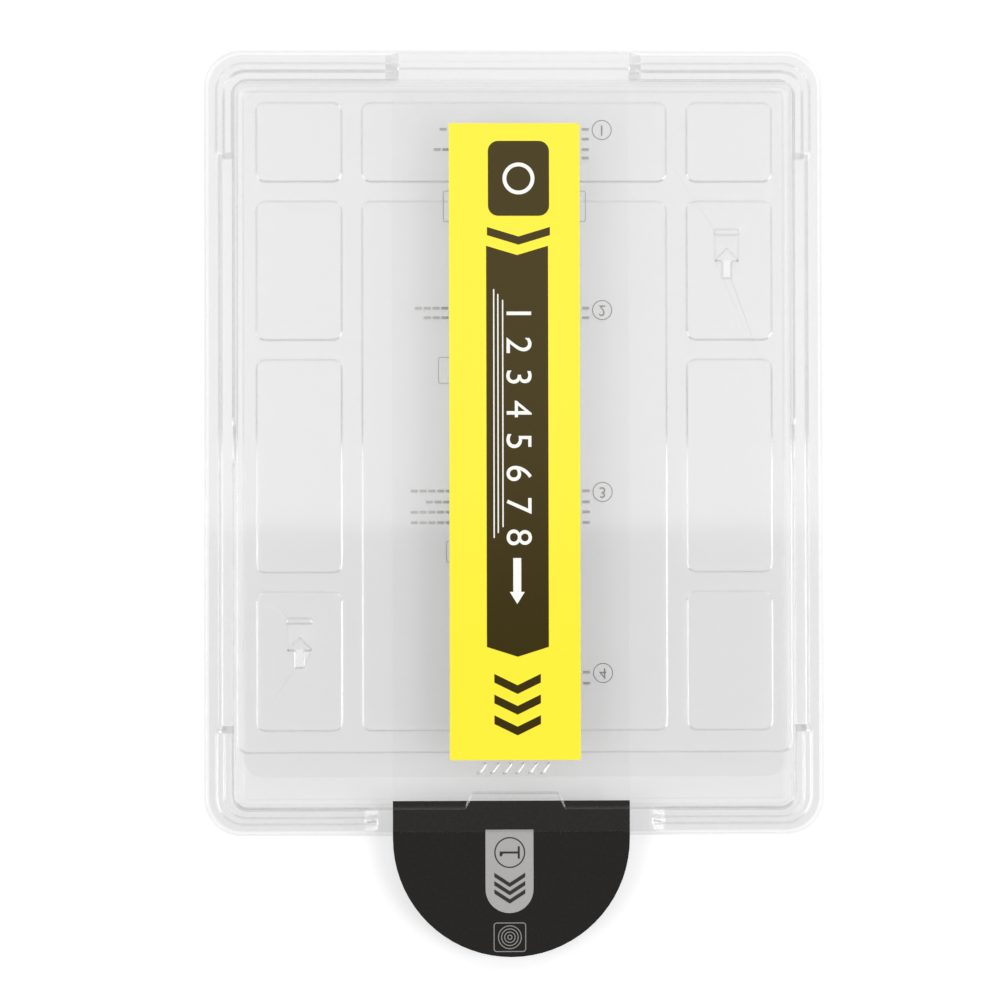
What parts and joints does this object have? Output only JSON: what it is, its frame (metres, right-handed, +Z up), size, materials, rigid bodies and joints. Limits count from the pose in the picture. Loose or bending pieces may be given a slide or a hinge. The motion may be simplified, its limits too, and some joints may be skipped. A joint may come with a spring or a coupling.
{
  "type": "screen protector applicator box",
  "caption": "Flat clear applicator box of vacuum-formed shells that lines up a glass screen protector on a tablet, with a guide label on the roof and a half-round pull tab",
  "frame": {"origin": "Middle of the bottom cover's underside, which the box lies on. It is the middle of the box's own outline, without the pull tab.", "axes": "+X to the right across the box, +Y to the far end, away from the pull tab, +Z up through the roof. The box is longest along Y and thinnest along Z."},
  "size_m": [0.2416, 0.3529, 0.0123],
  "materials": {
    "cover_sheet": "clear vacuum-formed sheet, 0.6 mm",
    "box_sheet": "clear vacuum-formed sheet, 0.6 mm",
    "glass": "clear tempered glass, 0.33 mm",
    "adhesive": "clear silicone adhesive",
    "top_film": "clear protective film",
    "liner_film": "clear release film",
    "foam_tape": "clear double-sided foam tape",
    "strip_film": "clear film, printed in grey",
    "tab_film": "glossy black film",
    "tag_label": "satin silver-grey label",
    "guide_label": "glossy yellow label with a printed dark band"
  },
  "bodies": {
    "cover": {"bottom_cover": "cover_sheet"},
    "top": {"top_box": "box_sheet", "holding_tape_far": "foam_tape", "holding_tape_near": "foam_tape", "guide_label": "guide_label"},
    "glass": {"tempered_glass": "glass", "glass_adhesive": "adhesive", "glass_top_film": "top_film", "release_liner": "liner_film"},
    "strip": {"pull_strip": "strip_film", "pull_tab": "tab_film", "tab_tag": "tag_label"}
  },
  "joints": [
    {"name": "top_box_lift", "type": "slide", "parent": "cover", "child": "top", "axis": [0, 0, 1], "range_m": [0, 0.04]},
    {"name": "glass_press", "type": "slide", "parent": "top", "child": "glass", "axis": [0, 0, -1], "range_m": [0, 0.0004]},
    {"name": "liner_pull", "type": "slide", "parent": "glass", "child": "strip", "axis": [0, -1, 0], "range_m": [0, 0.27], "deforming": ["release_liner"]}
  ]
}
